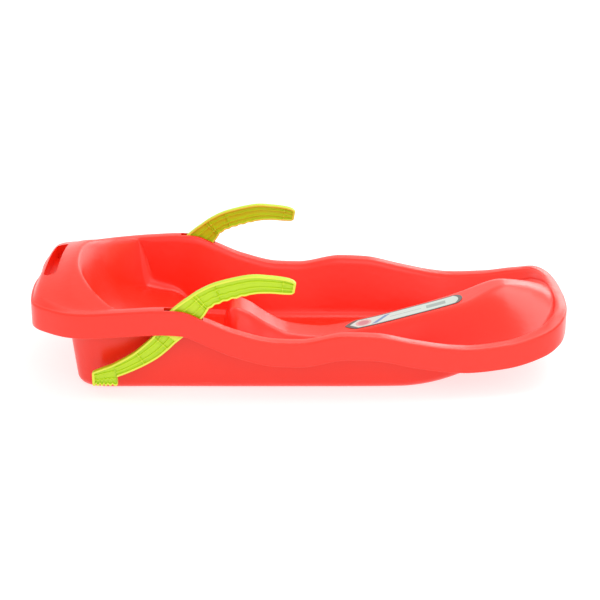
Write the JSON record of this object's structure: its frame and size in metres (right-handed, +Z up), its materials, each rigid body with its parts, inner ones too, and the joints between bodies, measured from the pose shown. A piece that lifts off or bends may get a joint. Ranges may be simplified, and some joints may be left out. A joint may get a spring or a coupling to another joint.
{
  "type": "bob sled",
  "caption": "One-seat moulded plastic bob sled with a bucket seat, raised nose, rolled rim and a swinging hand brake lever on each side.",
  "frame": {"origin": "on the ground under the runners, at the middle of the length and of the width", "axes": "+X towards the nose, +Y towards the rider's left, +Z up"},
  "size_m": [0.823, 0.384, 0.1935],
  "materials": {
    "hull_red": "satin moulded",
    "lever_lime": "satin moulded",
    "pin_steel": "drawn",
    "label_film": "printed film"
  },
  "bodies": {
    "sled": {"hull": "hull_red", "label": "label_film", "pivot_pin_left": "pin_steel", "pivot_pin_right": "pin_steel"},
    "brake_left": {"brake_lever_left": "lever_lime"},
    "brake_right": {"brake_lever_right": "lever_lime"}
  },
  "joints": [
    {"name": "brake_left_pivot", "type": "hinge", "parent": "sled", "child": "brake_left", "pos_m": [-0.186, 0.1824, 0.11474], "axis": [0, -1, 0], "range_deg": [0, 25]},
    {"name": "brake_right_pivot", "type": "hinge", "parent": "sled", "child": "brake_right", "pos_m": [-0.186, -0.1824, 0.11474], "axis": [0, -1, 0], "range_deg": [0, 25]}
  ]
}
